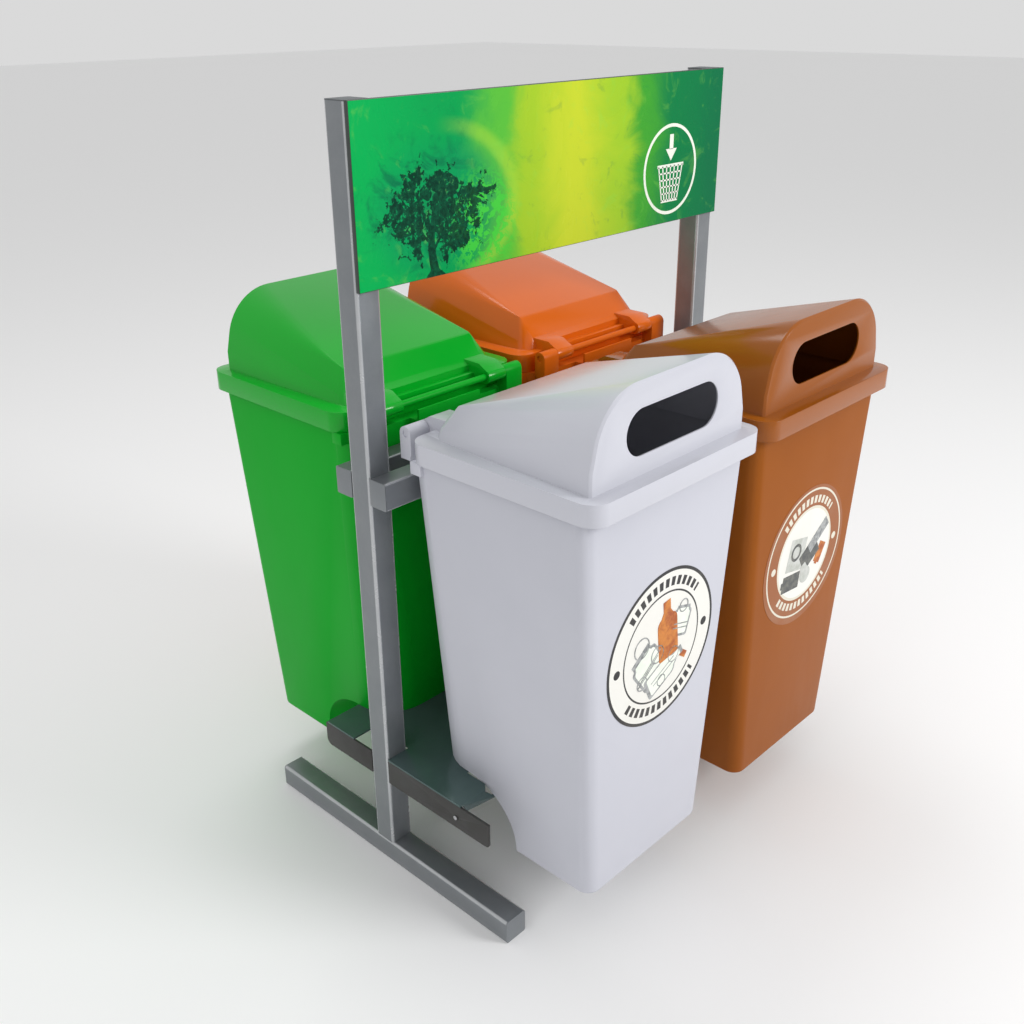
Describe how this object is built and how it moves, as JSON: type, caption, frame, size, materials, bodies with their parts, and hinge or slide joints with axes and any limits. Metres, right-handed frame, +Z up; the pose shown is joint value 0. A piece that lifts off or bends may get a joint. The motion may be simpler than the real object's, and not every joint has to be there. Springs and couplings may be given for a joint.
{
  "type": "recycling bin station",
  "caption": "Free-standing recycling station: steel frame on two feet with a header sign, holding coloured bins with hinged hood lids and round labels.",
  "frame": {"origin": "centre of the footprint, on the ground", "axes": "+X along the sign, +Y to the back row of bins, +Z up; the sign faces -Y"},
  "size_m": [1.004, 1.0116, 1.475],
  "materials": {
    "frame_steel": "satin metallic grey paint",
    "cap_grey": "moulded plug",
    "deck_steel": "dark glossy paint",
    "bar_steel": "dark satin paint",
    "bright_steel": "zinc plated",
    "sign_tray": "satin",
    "sign_print": "printed film, green to yellow",
    "white_plastic": "moulded, slightly glossy",
    "brown_plastic": "moulded, slightly glossy",
    "green_plastic": "moulded, glossy",
    "orange_plastic": "moulded, glossy",
    "white_sticker": "printed sticker",
    "cream_sticker": "printed sticker"
  },
  "bodies": {
    "frame": {"left_upright": "frame_steel", "right_upright": "frame_steel", "upright_caps": "cap_grey", "left_foot": "frame_steel", "right_foot": "frame_steel", "foot_end_caps": "cap_grey", "front_rail": "frame_steel", "rear_rail": "frame_steel", "rail_end_caps": "frame_steel", "deck_plate": "deck_steel", "left_front_bar": "bar_steel", "left_rear_bar": "bar_steel", "right_front_bar": "bar_steel", "right_rear_bar": "bar_steel", "deck_screws": "bright_steel", "sign_panel": "sign_tray", "sign_face": "sign_print"},
    "white_body": {"white_bin": "white_plastic", "white_hinge_rod": "white_plastic", "white_label": "white_sticker"},
    "white_hood": {"white_lid": "white_plastic"},
    "brown_body": {"brown_bin": "brown_plastic", "brown_hinge_rod": "brown_plastic", "brown_label": "cream_sticker"},
    "brown_hood": {"brown_lid": "brown_plastic"},
    "green_body": {"green_bin": "green_plastic", "green_hinge_rod": "green_plastic", "green_label": "white_sticker"},
    "green_hood": {"green_lid": "green_plastic"},
    "orange_body": {"orange_bin": "orange_plastic", "orange_hinge_rod": "orange_plastic", "orange_label": "white_sticker"},
    "orange_hood": {"orange_lid": "orange_plastic"}
  },
  "joints": [
    {"name": "white_lift", "type": "slide", "parent": "frame", "child": "white_body", "axis": [0, 0, 1], "range_m": [0, 0.15]},
    {"name": "white_lid_hinge", "type": "hinge", "parent": "white_body", "child": "white_hood", "pos_m": [-0.2385, -0.06, 0.932], "axis": [-1, 0, 0], "range_deg": [0, 60]},
    {"name": "brown_lift", "type": "slide", "parent": "frame", "child": "brown_body", "axis": [0, 0, 1], "range_m": [0, 0.15]},
    {"name": "brown_lid_hinge", "type": "hinge", "parent": "brown_body", "child": "brown_hood", "pos_m": [0.2385, -0.06, 0.932], "axis": [-1, 0, 0], "range_deg": [0, 60]},
    {"name": "green_lift", "type": "slide", "parent": "frame", "child": "green_body", "axis": [0, 0, 1], "range_m": [0, 0.15]},
    {"name": "green_lid_hinge", "type": "hinge", "parent": "green_body", "child": "green_hood", "pos_m": [-0.2385, 0.06, 0.932], "axis": [1, 0, 0], "range_deg": [0, 60]},
    {"name": "orange_lift", "type": "slide", "parent": "frame", "child": "orange_body", "axis": [0, 0, 1], "range_m": [0, 0.15]},
    {"name": "orange_lid_hinge", "type": "hinge", "parent": "orange_body", "child": "orange_hood", "pos_m": [0.2385, 0.06, 0.932], "axis": [1, 0, 0], "range_deg": [0, 60]}
  ]
}
